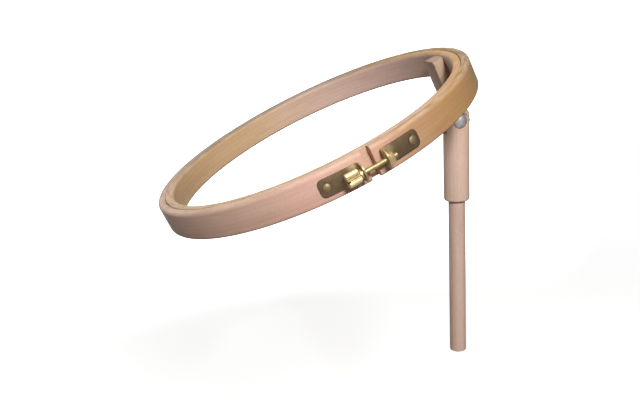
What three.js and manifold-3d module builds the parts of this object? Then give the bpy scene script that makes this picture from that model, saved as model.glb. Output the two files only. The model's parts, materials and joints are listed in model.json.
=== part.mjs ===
import * as THREE from 'three';
import { mergeVertices } from 'three/addons/utils/BufferGeometryUtils.js';
import Module from 'manifold-3d';

// A wooden embroidery hoop on a stem, with a knuckle that lets the hoop tilt.
// Millimetres, +Z up along the stem, origin at the centre of the stem's lower end.
// The hoop's centre lies towards -X. The tilt bolt lies along Y with its head at -Y.

// The two rings
const hoopDiameter = 300;
const ringDepth = 25;
const outerRingWall = 7.3;
const innerRingWall = 7.3;
const ringClearance = 0.4;
const handRound = 3;
const matingRound = 1;
const splitGap = 7;
const splitTurn = -88;

// The stem
const dowelDiameter = 15.9;
const dowelExposed = 154;
const dowelSocket = 30;
const dowelChamfer = 1.2;
const barrelDiameter = 24.4;
const barrelLength = 77.2;
const barrelFootRound = 2.5;

// The tilt knuckle and the leg that carries the inner ring
const restTilt = 23;
const tongueThickness = 8;
const forkClearance = 0.4;
const shoulderClearance = 0.6;
const spotFaceDiameter = 16;
const spotFaceDepth = 2.6;
const ringRise = 50.6;
const legInset = 8.5;
const legTopDrop = 2;
const legTopRound = 1.5;
const tabInnerFace = 3;
const tabStart = 21;
const tabFillet = 9;
const tabCornerRound = 5;

// The tilt bolt, its washer and its wing nut
const boltDiameter = 6;
const boltHeadDiameter = 13;
const boltHeadHeight = 3.6;
const boltHeadRim = 0.7;
const boltNeckLength = 3.2;
const boltTipLength = 4.5;
const boltTipChamfer = 0.8;
const washerDiameter = 14;
const washerThickness = 1.2;
const wingHubDiameter = 11.5;
const wingHubTopDiameter = 9;
const wingHubHeight = 7.5;
const wingSpan = 28;
const wingHeight = 12.5;
const wingLobeRadius = 3.4;
const wingLobeTurn = 144;
const wingThickness = 2.4;

// The wood screws that hold the leg to the inner ring
const screwHeadDiameter = 6.6;
const screwHeadRim = 0.25;
const screwHeadSink = 0.5;
const screwShankDiameter = 3.4;
const screwBite = 7.5;
const screwTipLength = 3.5;
const screwSpacing = 12;
const screwSlotWidth = 0.9;
const screwSlotDepth = 0.9;

// The brass clamp at the split of the outer ring
const stripThickness = 1.2;
const stripHeight = 14;
const stripBendRadius = 1.6;
const stripEndRound = 4;
const lugOffset = 10;
const lugReach = 14.5;
const lugRound = 4.5;
const rivetArc = 36;
const rivetEdge = 6;
const rivetDiameter = 3.2;
const rivetHeadDiameter = 7;
const rivetHeadHeight = 1.9;
const rivetTailDiameter = 5;
const rivetTailDepth = 1;
const rivetTailSink = 0.4;
const clampScrewDiameter = 4;
const clampScrewOffset = 8.6;
const clampScrewTip = 3.2;
const clampCollarDiameter = 7.5;
const clampCollarLength = 2;
const thumbHeadDiameter = 11;
const thumbHeadLength = 11;
const thumbFlutes = 24;
const thumbFluteDepth = 0.5;
const thumbSlotWidth = 1.4;
const thumbSlotDepth = 1.8;
const clampNutAcross = 8;
const clampNutThickness = 4;
const clampNutChamfer = 0.6;

// Gaps: round pieces in their holes, and faces that seat on one another
const fitGap = 0.3;
const seatGap = 0.3;

// Facets on rings, on thick and thin turned pieces, and on quarter arcs
const ringSides = 96;
const stockSides = 48;
const smallSides = 24;
const arcSteps = 6;
const cutMargin = 2;

// Places that follow from the sizes above
const outerRadius = hoopDiameter / 2;
const outerRingBore = outerRadius - outerRingWall;
const innerRingOutside = outerRingBore - ringClearance;
const innerRingBore = innerRingOutside - innerRingWall;
const stockRadius = barrelDiameter / 2;
const pivotHeight = dowelExposed + barrelLength;
const spotFace = stockRadius - spotFaceDepth;
const washerSeat = spotFace + seatGap;
const nutSeat = washerSeat + washerThickness + seatGap;
const hoopReach = innerRingBore - legInset;
const legTop = ringRise + ringDepth / 2 - legTopDrop;
const rivetTurn = rivetArc / outerRadius;
const plateEndTurn = (rivetArc + rivetEdge) / outerRadius;
const stripBore = outerRadius + seatGap;
const lugOuterFace = lugOffset + stripThickness / 2;
const clampAxis = outerRadius + clampScrewOffset;
const quarterTurn = Math.PI / 2;
const xAxis = new THREE.Vector3(1, 0, 0);
const yAxis = new THREE.Vector3(0, 1, 0);
const zAxis = new THREE.Vector3(0, 0, 1);

const wasm = await Module();
wasm.setup();

// Closed solid of a geometry, with its shared corners merged and slivers at poles left out.
function solidOf(geometry) {
  geometry.deleteAttribute('normal');
  geometry.deleteAttribute('uv');
  const merged = mergeVertices(geometry);
  const corners = merged.index.array;
  const faces = [];
  for (let k = 0; k < corners.length; k += 3) {
    const [a, b, c] = corners.slice(k, k + 3);
    if (a !== b && b !== c && c !== a) {
      faces.push(a, b, c);
    }
  }
  return new wasm.Manifold(new wasm.Mesh({
    numProp: 3,
    vertProperties: merged.attributes.position.array,
    triVerts: new Uint32Array(faces),
  }));
}

function geometryOf(solid) {
  const mesh = solid.getMesh();
  const geometry = new THREE.BufferGeometry();
  geometry.setAttribute('position', new THREE.BufferAttribute(mesh.vertProperties, mesh.numProp));
  geometry.setIndex(new THREE.BufferAttribute(mesh.triVerts, 1));
  geometry.computeVertexNormals();
  return geometry;
}

// Turned piece about Z. The section lists radius and height, upwards on its outside.
function turned(section, sides) {
  const points = section.map(([radius, height]) => new THREE.Vector2(radius, height));
  return new THREE.LatheGeometry(points, sides).rotateX(quarterTurn);
}

function rod(radius, from, to, sides) {
  return turned([[0, from], [radius, from], [radius, to], [0, to]], sides);
}

function block(from, to) {
  const size = to.map((value, k) => value - from[k]);
  const middle = to.map((value, k) => (value + from[k]) / 2);
  return new THREE.BoxGeometry(...size).translate(...middle);
}

function prism(shape, depth) {
  const settings = { depth, bevelEnabled: false, curveSegments: arcSteps };
  return new THREE.ExtrudeGeometry(shape, settings).translate(0, 0, -depth / 2);
}

// Prism of an outline drawn in x and z, running along Y.
function prismAlongY(shape, depth) {
  return prism(shape, depth).rotateX(quarterTurn);
}

// Prism of an outline drawn in y and z, running along X.
function prismAlongX(shape, depth) {
  return prism(shape, depth).applyMatrix4(new THREE.Matrix4().makeBasis(yAxis, zAxis, xAxis));
}

// Points of an elliptical quarter, from the start of its turn to the end.
function quarterCurve(x, y, xRadius, yRadius, from, to) {
  const curve = new THREE.EllipseCurve(x, y, xRadius, yRadius, from, to, to < from);
  return curve.getPoints(arcSteps).map((point) => [point.x, point.y]);
}

// Section of a ring with its inside and outside edges rounded.
function ringSection(bore, outside, boreRound, outsideRound) {
  const half = ringDepth / 2;
  const path = new THREE.Path();
  path.absarc(outside - outsideRound, outsideRound - half, outsideRound, -quarterTurn, 0);
  path.absarc(outside - outsideRound, half - outsideRound, outsideRound, 0, quarterTurn);
  path.absarc(bore + boreRound, half - boreRound, boreRound, quarterTurn, 2 * quarterTurn);
  path.absarc(bore + boreRound, boreRound - half, boreRound, 2 * quarterTurn, 3 * quarterTurn);
  path.closePath();
  return path.getPoints(1).map((point) => [point.x, point.y]);
}

// Lower dowel, glued into the barrel's socket.
function lowerDowel() {
  const radius = dowelDiameter / 2;
  const top = dowelExposed + dowelSocket;
  return solidOf(turned([
    [0, 0],
    [radius - dowelChamfer, 0],
    [radius, dowelChamfer],
    [radius, top - dowelChamfer],
    [radius - dowelChamfer, top],
    [0, top],
  ], stockSides));
}

// Barrel: turned stock with a dowel socket below and a rounded fork above.
function barrel() {
  const foot = dowelExposed;
  const top = pivotHeight + stockRadius;
  const stock = solidOf(turned([
    [0, foot],
    ...quarterCurve(stockRadius - barrelFootRound, foot + barrelFootRound,
      barrelFootRound, barrelFootRound, -quarterTurn, 0),
    [stockRadius, top],
    [0, top],
  ], stockSides));
  const socketRadius = dowelDiameter / 2 + fitGap;
  const socket = rod(socketRadius, foot - cutMargin, foot + dowelSocket + seatGap, stockSides);
  const slotHalf = tongueThickness / 2 + forkClearance;
  const slotFloor = pivotHeight - stockRadius - forkClearance;
  const slot = block(
    [-stockRadius - cutMargin, -slotHalf, slotFloor],
    [stockRadius + cutMargin, slotHalf, top + cutMargin],
  );
  return stock
    .intersect(solidOf(prismAlongY(knuckleOutline(foot - cutMargin), barrelDiameter + cutMargin)))
    .subtract(solidOf(socket))
    .subtract(solidOf(slot))
    .subtract(solidOf(boltHole()))
    .subtract(solidOf(spotFaceCut(1)))
    .subtract(solidOf(spotFaceCut(-1)))
    .subtract(solidOf(neckHole()));
}

// Barrel seen along the bolt: straight sides, then a half round about the pivot.
function knuckleOutline(bottom) {
  const side = stockRadius + cutMargin;
  const shape = new THREE.Shape();
  shape.moveTo(-side, bottom);
  shape.lineTo(side, bottom);
  shape.lineTo(side, pivotHeight);
  shape.absarc(0, pivotHeight, stockRadius, 0, Math.PI);
  shape.lineTo(-side, pivotHeight);
  return shape;
}

function boltHole() {
  const reach = stockRadius + cutMargin;
  return rod(boltDiameter / 2 + fitGap, -reach, reach, smallSides)
    .rotateX(-quarterTurn)
    .translate(0, 0, pivotHeight);
}

// Flat seat for the bolt's head or the washer, cut into one cheek of the fork.
function spotFaceCut(side) {
  return rod(spotFaceDiameter / 2, spotFace, stockRadius + cutMargin, stockSides)
    .rotateX(-side * quarterTurn)
    .translate(0, 0, pivotHeight);
}

// Square hole in the cheek at -Y, which keeps the bolt from turning.
function neckHole() {
  const half = boltDiameter / 2 + fitGap;
  const inner = spotFace + seatGap - boltNeckLength - fitGap;
  return block([-half, -spotFace - cutMargin, -half], [half, -inner, half])
    .translate(0, 0, pivotHeight);
}

// Dome-headed bolt with a square neck, along +Z from the seat under its head.
function pivotBolt() {
  const radius = boltDiameter / 2;
  const tip = washerSeat + nutSeat + wingHubHeight + boltTipLength;
  const shaft = solidOf(turned([
    ...quarterCurve(0, -boltHeadRim, boltHeadDiameter / 2, boltHeadHeight - boltHeadRim, -quarterTurn, 0),
    [boltHeadDiameter / 2, 0],
    [radius, 0],
    [radius, tip - boltTipChamfer],
    [radius - boltTipChamfer, tip],
    [0, tip],
  ], smallSides));
  const neck = block([-radius, -radius, -boltHeadRim / 2], [radius, radius, boltNeckLength]);
  return shaft.add(solidOf(neck));
}

function pivotWasher() {
  const bore = boltDiameter / 2 + fitGap;
  const radius = washerDiameter / 2;
  return solidOf(turned([
    [bore, 0],
    [radius, 0],
    [radius, washerThickness],
    [bore, washerThickness],
    [bore, 0],
  ], stockSides));
}

// Wing nut along +Z from its seat: a tapered hub with two raised wings.
function wingNut() {
  const hub = solidOf(turned([
    [0, 0],
    [wingHubDiameter / 2, 0],
    [wingHubTopDiameter / 2, wingHubHeight],
    [0, wingHubHeight],
  ], smallSides));
  const bore = rod(boltDiameter / 2 + fitGap, -cutMargin, wingHubHeight + cutMargin, smallSides);
  return hub
    .add(solidOf(prismAlongY(wingOutline(1), wingThickness)))
    .add(solidOf(prismAlongY(wingOutline(-1), wingThickness)))
    .subtract(solidOf(bore));
}

// One wing: it leaves the hub low down and sweeps out to a round lobe.
function wingOutline(side) {
  const root = wingHubTopDiameter / 2 - wingThickness / 2;
  const lobeX = wingSpan / 2 - wingLobeRadius;
  const lobeZ = wingHeight - wingLobeRadius;
  const rootTop = wingHubHeight - wingThickness / 2;
  const lobeEnd = THREE.MathUtils.degToRad(wingLobeTurn);
  const from = side > 0 ? 0 : Math.PI;
  const to = side > 0 ? lobeEnd : Math.PI - lobeEnd;
  const shape = new THREE.Shape();
  shape.moveTo(side * root, wingThickness / 2);
  shape.quadraticCurveTo(side * wingSpan / 2, wingThickness / 2, side * wingSpan / 2, lobeZ);
  shape.absarc(side * lobeX, lobeZ, wingLobeRadius, from, to, side < 0);
  shape.quadraticCurveTo(side * wingHubDiameter / 2, wingHubHeight, side * root, rootTop);
  return shape;
}

// Leg of the hoop, about the pivot: tongue, round shoulder and a flat tab behind the inner ring.
function hoopLeg() {
  const stock = solidOf(turned([
    [0, -stockRadius],
    [stockRadius, -stockRadius],
    ...quarterCurve(stockRadius - legTopRound, legTop - legTopRound,
      legTopRound, legTopRound, 0, quarterTurn),
    [0, legTop],
  ], stockSides));
  const bolt = boltHole().translate(0, 0, -pivotHeight);
  return stock
    .intersect(solidOf(prismAlongY(tongueOutline(), barrelDiameter + cutMargin)))
    .intersect(solidOf(prismAlongX(tabOutline(), barrelDiameter + cutMargin)))
    .subtract(solidOf(tongueFlat(1)))
    .subtract(solidOf(tongueFlat(-1)))
    .subtract(solidOf(prismAlongY(tabRelief(), barrelDiameter + cutMargin)))
    .subtract(solidOf(ringSeat()))
    .subtract(solidOf(bolt))
    .subtract(solidOf(screwHole(1).translate(-hoopReach, 0, ringRise)))
    .subtract(solidOf(screwHole(-1).translate(-hoopReach, 0, ringRise)));
}

// Leg seen along the bolt: a half round about the pivot below, straight above.
function tongueOutline() {
  const side = stockRadius + cutMargin;
  const shape = new THREE.Shape();
  shape.moveTo(side, 0);
  shape.lineTo(side, legTop + cutMargin);
  shape.lineTo(-side, legTop + cutMargin);
  shape.lineTo(-side, 0);
  shape.absarc(0, 0, stockRadius, Math.PI, 2 * Math.PI);
  return shape;
}

// Leg seen from the hoop's middle, with the tab's top corners rounded.
function tabOutline() {
  const shape = new THREE.Shape();
  shape.moveTo(-stockRadius, -stockRadius - cutMargin);
  shape.lineTo(stockRadius, -stockRadius - cutMargin);
  shape.absarc(stockRadius - tabCornerRound, legTop - tabCornerRound, tabCornerRound, 0, quarterTurn);
  shape.absarc(tabCornerRound - stockRadius, legTop - tabCornerRound, tabCornerRound, quarterTurn, Math.PI);
  return shape;
}

function tongueFlat(side) {
  const inner = side * tongueThickness / 2;
  const outer = side * (stockRadius + cutMargin);
  const shoulder = stockRadius + shoulderClearance;
  return block(
    [-stockRadius - cutMargin, Math.min(inner, outer), -stockRadius - cutMargin],
    [stockRadius + cutMargin, Math.max(inner, outer), shoulder],
  );
}

// What is cut from the leg's inner side to leave the tab, with a hollow run-out below.
function tabRelief() {
  const outside = -stockRadius - tabFillet;
  const shape = new THREE.Shape();
  shape.moveTo(-tabInnerFace, legTop + cutMargin);
  shape.lineTo(outside, legTop + cutMargin);
  shape.lineTo(outside, tabStart);
  shape.absarc(-tabInnerFace - tabFillet, tabStart + tabFillet, tabFillet, 3 * quarterTurn, 4 * quarterTurn);
  return shape;
}

// Hollow face and ledge for the inner ring, which sits against the tab and on the leg's shoulder.
function ringSeat() {
  const bore = innerRingBore - seatGap;
  const ledge = ringRise - ringDepth / 2 - seatGap;
  const rim = outerRadius + cutMargin;
  const top = legTop + cutMargin;
  return turned([[bore, ledge], [rim, ledge], [rim, top], [bore, top], [bore, ledge]], ringSides)
    .translate(-hoopReach, 0, 0);
}

function innerRing() {
  return solidOf(turned(ringSection(innerRingBore, innerRingOutside, handRound, matingRound), ringSides))
    .subtract(solidOf(screwHole(1)))
    .subtract(solidOf(screwHole(-1)));
}

function screwLength() {
  return innerRingWall - screwHeadSink + seatGap + screwBite;
}

// Section of a countersunk wood screw from its head's face at height 0, grown by a gap.
function screwSection(gap, start) {
  const head = screwHeadDiameter / 2 + gap;
  const shank = screwShankDiameter / 2 + gap;
  const length = screwLength() + gap;
  const coneStart = screwHeadRim + gap * Math.tan(quarterTurn / 4);
  return [
    [0, start],
    [head, start],
    [head, coneStart],
    [shank, coneStart + head - shank],
    [shank, length - screwTipLength],
    [0, length],
  ];
}

function legScrew() {
  const slotReach = screwHeadDiameter;
  const slot = block(
    [-slotReach, -screwSlotWidth / 2, -cutMargin],
    [slotReach, screwSlotWidth / 2, screwSlotDepth],
  );
  return solidOf(turned(screwSection(0, 0), smallSides)).subtract(solidOf(slot));
}

// Hole for one of the two leg screws, in the ring's own frame.
function screwHole(level) {
  return turned(screwSection(fitGap, -cutMargin), smallSides)
    .rotateY(-quarterTurn)
    .translate(innerRingOutside - screwHeadSink, 0, level * screwSpacing / 2);
}

// Outer ring, split for the clamp and drilled for the rivets.
function outerRing() {
  const half = ringDepth / 2 + cutMargin;
  const split = block(
    [outerRingBore - cutMargin, -splitGap / 2, -half],
    [outerRadius + cutMargin, splitGap / 2, half],
  ).rotateZ(THREE.MathUtils.degToRad(splitTurn));
  return solidOf(turned(ringSection(outerRingBore, outerRadius, matingRound, handRound), ringSides))
    .subtract(solidOf(split))
    .subtract(solidOf(rivetHole(1).rotateZ(THREE.MathUtils.degToRad(splitTurn))))
    .subtract(solidOf(rivetHole(-1).rotateZ(THREE.MathUtils.degToRad(splitTurn))));
}

// Rivet along +Z from the underside of its domed head, with its tail sunk in the ring's bore.
function rivet() {
  const shank = rivetDiameter / 2;
  const tail = rivetTailDiameter / 2;
  const tailEnd = rivetTailSink - outerRingWall - stripThickness - 2 * seatGap;
  const tailTop = tailEnd + rivetTailDepth;
  return solidOf(turned([
    [0, tailEnd],
    [tail, tailEnd],
    [tail, tailTop],
    [shank, tailTop],
    [shank, 0],
    ...quarterCurve(0, 0, rivetHeadDiameter / 2, rivetHeadHeight, 0, quarterTurn),
  ], smallSides));
}

// Hole for one rivet in the clamp's frame, through the strip and the ring.
function rivetHole(side) {
  const shank = rivetDiameter / 2 + fitGap;
  const tail = rivetTailDiameter / 2 + fitGap;
  const tailFloor = outerRingBore + rivetTailSink + rivetTailDepth + fitGap;
  return turned([
    [0, outerRingBore - cutMargin],
    [tail, outerRingBore - cutMargin],
    [tail, tailFloor],
    [shank, tailFloor],
    [shank, stripBore + stripThickness + cutMargin],
    [0, stripBore + stripThickness + cutMargin],
  ], smallSides).rotateY(quarterTurn).rotateZ(side * rivetTurn);
}

// Bent brass bracket: a plate that follows the ring, then a lug that stands out from it.
function bracket(side) {
  const lugHole = rod(clampScrewDiameter / 2 + fitGap, -lugReach, lugReach, smallSides)
    .rotateX(-quarterTurn)
    .translate(clampAxis, side * lugOffset, 0);
  const plateSag = outerRadius * (1 - Math.cos(plateEndTurn));
  const plateSide = prismAlongX(plateOutline(side), 2 * (lugReach + plateSag))
    .translate(outerRadius, 0, 0);
  return solidOf(prism(stripOutline(side), stripHeight))
    .intersect(solidOf(prismAlongY(lugOutline(), 2 * outerRadius)))
    .intersect(solidOf(plateSide))
    .subtract(solidOf(lugHole))
    .subtract(solidOf(rivetHole(side)));
}

// Strip seen along the hoop's axis: an arc round the ring, a bend and a straight lug.
function stripOutline(side) {
  const middle = stripBore + stripThickness / 2;
  const bend = stripBendRadius + stripThickness / 2;
  const bendY = lugOffset + bend;
  const bendX = Math.sqrt((middle + bend) ** 2 - bendY ** 2);
  const bendTurn = Math.asin(bendY / (middle + bend));
  const lugEnd = outerRadius + lugReach;
  const half = stripThickness / 2;
  const mirrored = side < 0;
  const plateEnd = side * plateEndTurn;
  const plateStart = side * bendTurn;
  const bendStart = side * (bendTurn + Math.PI);
  const bendEnd = side * 3 * quarterTurn;
  const shape = new THREE.Shape();
  shape.absarc(0, 0, middle - half, plateEnd, plateStart, !mirrored);
  shape.absarc(bendX, side * bendY, bend + half, bendStart, bendEnd, mirrored);
  shape.lineTo(lugEnd, side * (lugOffset - half));
  shape.lineTo(lugEnd, side * (lugOffset + half));
  shape.absarc(bendX, side * bendY, bend - half, bendEnd, bendStart, !mirrored);
  shape.absarc(0, 0, middle + half, plateStart, plateEnd, mirrored);
  return shape;
}

// Bracket seen along the clamp screw, with the lug's outer corners rounded.
function lugOutline() {
  const half = stripHeight / 2;
  const inner = outerRadius * Math.cos(plateEndTurn) - cutMargin;
  const outer = outerRadius + lugReach;
  const shape = new THREE.Shape();
  shape.moveTo(inner, half);
  shape.lineTo(inner, -half);
  shape.absarc(outer - lugRound, lugRound - half, lugRound, -quarterTurn, 0);
  shape.absarc(outer - lugRound, half - lugRound, lugRound, 0, quarterTurn);
  return shape;
}

// Bracket seen from outside the hoop, with the plate's far corners rounded.
function plateOutline(side) {
  const half = stripHeight / 2;
  const far = (stripBore + stripThickness) * Math.sin(plateEndTurn);
  const near = side * (lugOffset - stripThickness);
  const round = stripEndRound;
  const roundY = side * (far - round);
  const mirrored = side < 0;
  const turn = (angle) => (mirrored ? Math.PI - angle : angle);
  const shape = new THREE.Shape();
  shape.moveTo(near, half);
  shape.lineTo(near, -half);
  shape.absarc(roundY, round - half, round, turn(-quarterTurn), turn(0), mirrored);
  shape.absarc(roundY, half - round, round, turn(0), turn(quarterTurn), mirrored);
  return shape;
}

// Thumb screw along +Z from the face of its collar, with a fluted head behind.
function clampScrew() {
  const radius = clampScrewDiameter / 2;
  const point = radius / 2;
  const tip = 2 * lugOuterFace + 2 * seatGap + clampNutThickness + clampScrewTip;
  const shaft = turned([
    [0, -clampCollarLength - thumbHeadLength / 2],
    [clampCollarDiameter / 2, -clampCollarLength - thumbHeadLength / 2],
    [clampCollarDiameter / 2, 0],
    [radius, 0],
    [radius, tip - point],
    [point, tip],
    [0, tip],
  ], smallSides);
  const headMiddle = -clampCollarLength - thumbHeadLength / 2;
  const head = prism(thumbOutline(), thumbHeadLength).translate(0, 0, headMiddle);
  const headEnd = headMiddle - thumbHeadLength / 2;
  const slot = block(
    [-thumbHeadDiameter, -thumbSlotWidth / 2, headEnd - cutMargin],
    [thumbHeadDiameter, thumbSlotWidth / 2, headEnd + thumbSlotDepth],
  );
  return solidOf(shaft).add(solidOf(head)).subtract(solidOf(slot));
}

// Fluted outline of the thumb screw's head.
function thumbOutline() {
  const steps = 4 * thumbFlutes;
  const shape = new THREE.Shape();
  for (let k = 0; k < steps; k += 1) {
    const angle = 2 * Math.PI * k / steps;
    const wave = (1 - Math.cos(thumbFlutes * angle)) / 2;
    const radius = thumbHeadDiameter / 2 - thumbFluteDepth * wave;
    const point = [radius * Math.cos(angle), radius * Math.sin(angle)];
    if (k === 0) {
      shape.moveTo(...point);
    } else {
      shape.lineTo(...point);
    }
  }
  return shape;
}

// Square nut along +Z, with a turned chamfer on its outer face.
function clampNut() {
  const half = clampNutAcross / 2;
  const corner = half * Math.SQRT2;
  const rim = corner + cutMargin;
  const rimDrop = clampNutChamfer * (rim - half) / (corner - half);
  const body = solidOf(block([-half, -half, 0], [half, half, clampNutThickness]));
  const chamfered = solidOf(turned([
    [0, -cutMargin],
    [rim, -cutMargin],
    [rim, clampNutThickness - rimDrop],
    [half, clampNutThickness],
    [0, clampNutThickness],
  ], stockSides));
  const boreRadius = clampScrewDiameter / 2 + fitGap;
  const bore = rod(boreRadius, -cutMargin, clampNutThickness + cutMargin, smallSides);
  return body.intersect(chamfered).subtract(solidOf(bore));
}

function finish(color, roughness, metalness) {
  return new THREE.MeshStandardMaterial({ color, roughness, metalness });
}

function ringWood() {
  return finish(0xd3aa88, 0.55, 0);
}

function stemWood() {
  return finish(0xcdaa93, 0.55, 0);
}

function brass() {
  return finish(0xc09a4f, 0.35, 1);
}

function steel() {
  return finish(0xa9a9a6, 0.3, 1);
}

function piece(name, solid, material) {
  const mesh = new THREE.Mesh(geometryOf(solid), material);
  mesh.name = name;
  return mesh;
}

// Stem with the bolt through its fork, and the washer and wing nut on the bolt's far end.
function stem() {
  const bolt = piece('pivot_bolt', pivotBolt(), steel());
  bolt.position.set(0, -washerSeat, pivotHeight);
  bolt.rotation.x = -quarterTurn;
  const washer = piece('pivot_washer', pivotWasher(), steel());
  washer.position.set(0, washerSeat, pivotHeight);
  washer.rotation.x = -quarterTurn;
  const nut = piece('wing_nut', wingNut(), steel());
  nut.position.set(0, nutSeat, pivotHeight);
  nut.rotation.x = -quarterTurn;
  const group = new THREE.Group();
  group.add(piece('lower_dowel', lowerDowel(), stemWood()));
  group.add(piece('barrel', barrel(), stemWood()));
  group.add(bolt, washer, nut);
  return group;
}

// Brackets, rivets, thumb screw and nut at the split, in a frame with X pointing out of the ring.
function clamp() {
  const group = new THREE.Group();
  for (const [name, side] of [['left', -1], ['right', 1]]) {
    group.add(piece(`bracket_${name}`, bracket(side), brass()));
    const rivetMesh = piece(`rivet_${name}`, rivet(), brass());
    const seat = stripBore + stripThickness + seatGap;
    rivetMesh.position.set(seat * Math.cos(rivetTurn), side * seat * Math.sin(rivetTurn), 0);
    rivetMesh.rotation.set(0, quarterTurn, side * rivetTurn, 'ZYX');
    group.add(rivetMesh);
  }
  const screw = piece('tension_screw', clampScrew(), brass());
  screw.position.set(clampAxis, -lugOuterFace - seatGap, 0);
  screw.rotation.x = -quarterTurn;
  const nut = piece('tension_nut', clampNut(), brass());
  nut.position.set(clampAxis, lugOuterFace + seatGap, 0);
  nut.rotation.x = -quarterTurn;
  group.add(screw, nut);
  group.rotation.z = THREE.MathUtils.degToRad(splitTurn);
  return group;
}

// Everything that tilts: the leg, the two rings and the clamp, about the pivot.
function hoop() {
  const rings = new THREE.Group();
  rings.position.set(-hoopReach, 0, ringRise);
  rings.add(piece('inner_ring', innerRing(), ringWood()));
  rings.add(piece('outer_ring', outerRing(), ringWood()));
  rings.add(clamp());
  for (const [name, level] of [['upper', 1], ['lower', -1]]) {
    const screw = piece(`leg_screw_${name}`, legScrew(), steel());
    screw.position.set(innerRingOutside - screwHeadSink, 0, level * screwSpacing / 2);
    screw.rotation.y = -quarterTurn;
    rings.add(screw);
  }
  const group = new THREE.Group();
  group.add(piece('hoop_leg', hoopLeg(), stemWood()));
  group.add(rings);
  group.position.z = pivotHeight;
  group.rotation.y = -THREE.MathUtils.degToRad(restTilt);
  return group;
}

const embroideryHoop = new THREE.Group();
embroideryHoop.add(stem(), hoop());

export default embroideryHoop;
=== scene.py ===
import json
import math
import bpy
from mathutils import Matrix, Vector


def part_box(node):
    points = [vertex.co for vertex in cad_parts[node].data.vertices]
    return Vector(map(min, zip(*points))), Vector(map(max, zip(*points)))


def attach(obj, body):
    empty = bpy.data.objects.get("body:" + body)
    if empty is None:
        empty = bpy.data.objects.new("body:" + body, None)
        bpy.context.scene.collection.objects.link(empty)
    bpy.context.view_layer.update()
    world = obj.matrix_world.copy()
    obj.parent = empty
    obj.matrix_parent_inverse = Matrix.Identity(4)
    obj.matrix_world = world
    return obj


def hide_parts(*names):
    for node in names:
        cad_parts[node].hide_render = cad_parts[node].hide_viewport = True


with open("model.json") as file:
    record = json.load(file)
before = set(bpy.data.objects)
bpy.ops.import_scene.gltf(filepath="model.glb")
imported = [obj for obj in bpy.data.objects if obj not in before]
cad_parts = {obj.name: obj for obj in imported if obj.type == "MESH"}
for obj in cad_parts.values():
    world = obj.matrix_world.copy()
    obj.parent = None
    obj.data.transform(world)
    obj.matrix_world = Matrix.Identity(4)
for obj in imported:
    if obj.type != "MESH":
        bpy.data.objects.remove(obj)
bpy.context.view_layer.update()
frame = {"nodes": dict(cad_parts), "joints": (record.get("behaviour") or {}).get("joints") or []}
fullTurn = 2 * math.pi
quarterTurn = math.pi / 2
print("frame loaded:", len(frame["nodes"]), "pieces")

# Places that follow from the frame
joints = {joint["name"]: joint for joint in frame["joints"]}
pivot = Vector(joints["hoop_tilt"]["pos_m"])
boltAxis = Vector(joints["hoop_tilt"]["axis"])
hoopAxis = Vector(joints["outer_ring_lift"]["axis"]).normalized()
hoopOut = boltAxis.cross(hoopAxis)
ringCentre = sum(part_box("inner_ring"), Vector()) / 2
clampPoint = Vector(joints["tension_screw_turn"]["pos_m"])
clampReach = (clampPoint - ringCentre).length
clampOut = (clampPoint - ringCentre).normalized()


def placeOf(origin, xAxis, zAxis):
    turn = Matrix((xAxis, zAxis.cross(xAxis), zAxis)).transposed()
    return Matrix.Translation(origin) @ turn.to_4x4()


stemPlace = Matrix.Identity(4)
hoopPlace = placeOf(ringCentre, hoopOut, hoopAxis)  # x towards the leg
legPlace = placeOf(pivot, hoopOut, hoopAxis)
clampPlace = placeOf(ringCentre, clampOut, hoopAxis)  # x out through the split
boltPlace = placeOf(pivot, Vector((1, 0, 0)), boltAxis)  # z along the bolt
screwPlace = placeOf(clampPoint, clampOut, hoopAxis.cross(clampOut))  # z along the thumb screw
ringSpot = legPlace.inverted() @ ringCentre  # the rings' middle as the leg sees it

# Sizes shared by the two hoops
hoops = {
    "outerRadius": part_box("outer_ring")[1].y,
    "innerOutside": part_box("inner_ring")[1].y,
    "wall": 0.0073,
    "depth": 0.025,
    "handRound": 0.003,
    "matingRound": 0.001,
    "splitGap": 0.007,
    "splitEdge": 0.0006,
    "fit": 0.0003,
}
innerBore = hoops["innerOutside"] - hoops["wall"]
outerBore = hoops["outerRadius"] - hoops["wall"]


# Shader wiring
class Wire:
    def __init__(self, paint, socket):
        self.paint = paint
        self.socket = socket

    def math(self, operation, first, second=0.0):
        return self.paint.node("ShaderNodeMath", {"operation": operation}, {0: first, 1: second})

    def __add__(self, other):
        return self.math("ADD", self, other)

    def __radd__(self, other):
        return self.math("ADD", other, self)

    def __sub__(self, other):
        return self.math("SUBTRACT", self, other)

    def __rsub__(self, other):
        return self.math("SUBTRACT", other, self)

    def __mul__(self, other):
        return self.math("MULTIPLY", self, other)

    def __rmul__(self, other):
        return self.math("MULTIPLY", other, self)

    def __abs__(self):
        return self.math("ABSOLUTE", self)

    def root(self):
        return self.math("SQRT", self)

    def sine(self):
        return self.math("SINE", self)

    def highest(self, other):
        return self.math("MAXIMUM", self, other)


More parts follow.
